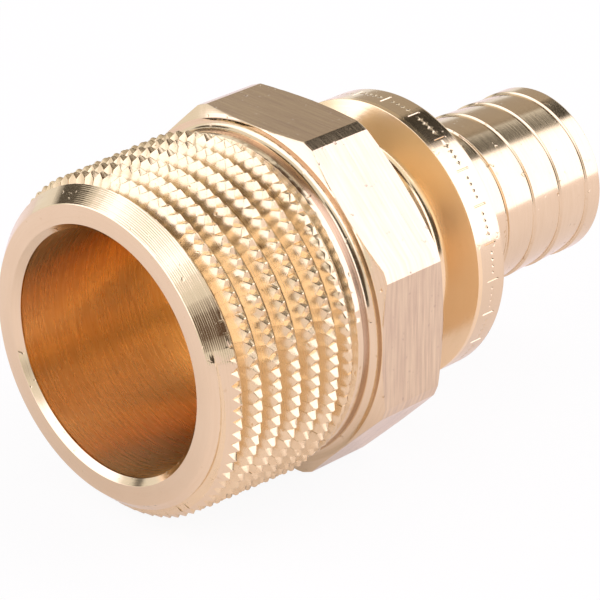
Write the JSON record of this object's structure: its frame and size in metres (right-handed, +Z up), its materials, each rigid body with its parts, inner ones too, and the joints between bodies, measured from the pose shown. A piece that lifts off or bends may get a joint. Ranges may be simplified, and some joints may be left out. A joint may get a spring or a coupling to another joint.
{
  "type": "pex male adapter",
  "caption": "Turned brass pipe adapter: a tapered male thread with toothed crests, an octagonal spanner section, a conical collar and a ribbed spigot for plastic pipe.",
  "frame": {"origin": "on the axis, at the threaded end's face", "axes": "+X along the axis from the threaded end to the spigot's end, +Z up, with one flat of the octagon facing down"},
  "size_m": [0.0592, 0.034, 0.034],
  "materials": {
    "brass": "bright turned brass, fine tool marks"
  },
  "bodies": {
    "root": {"adapter_body": "brass"}
  },
  "joints": []
}
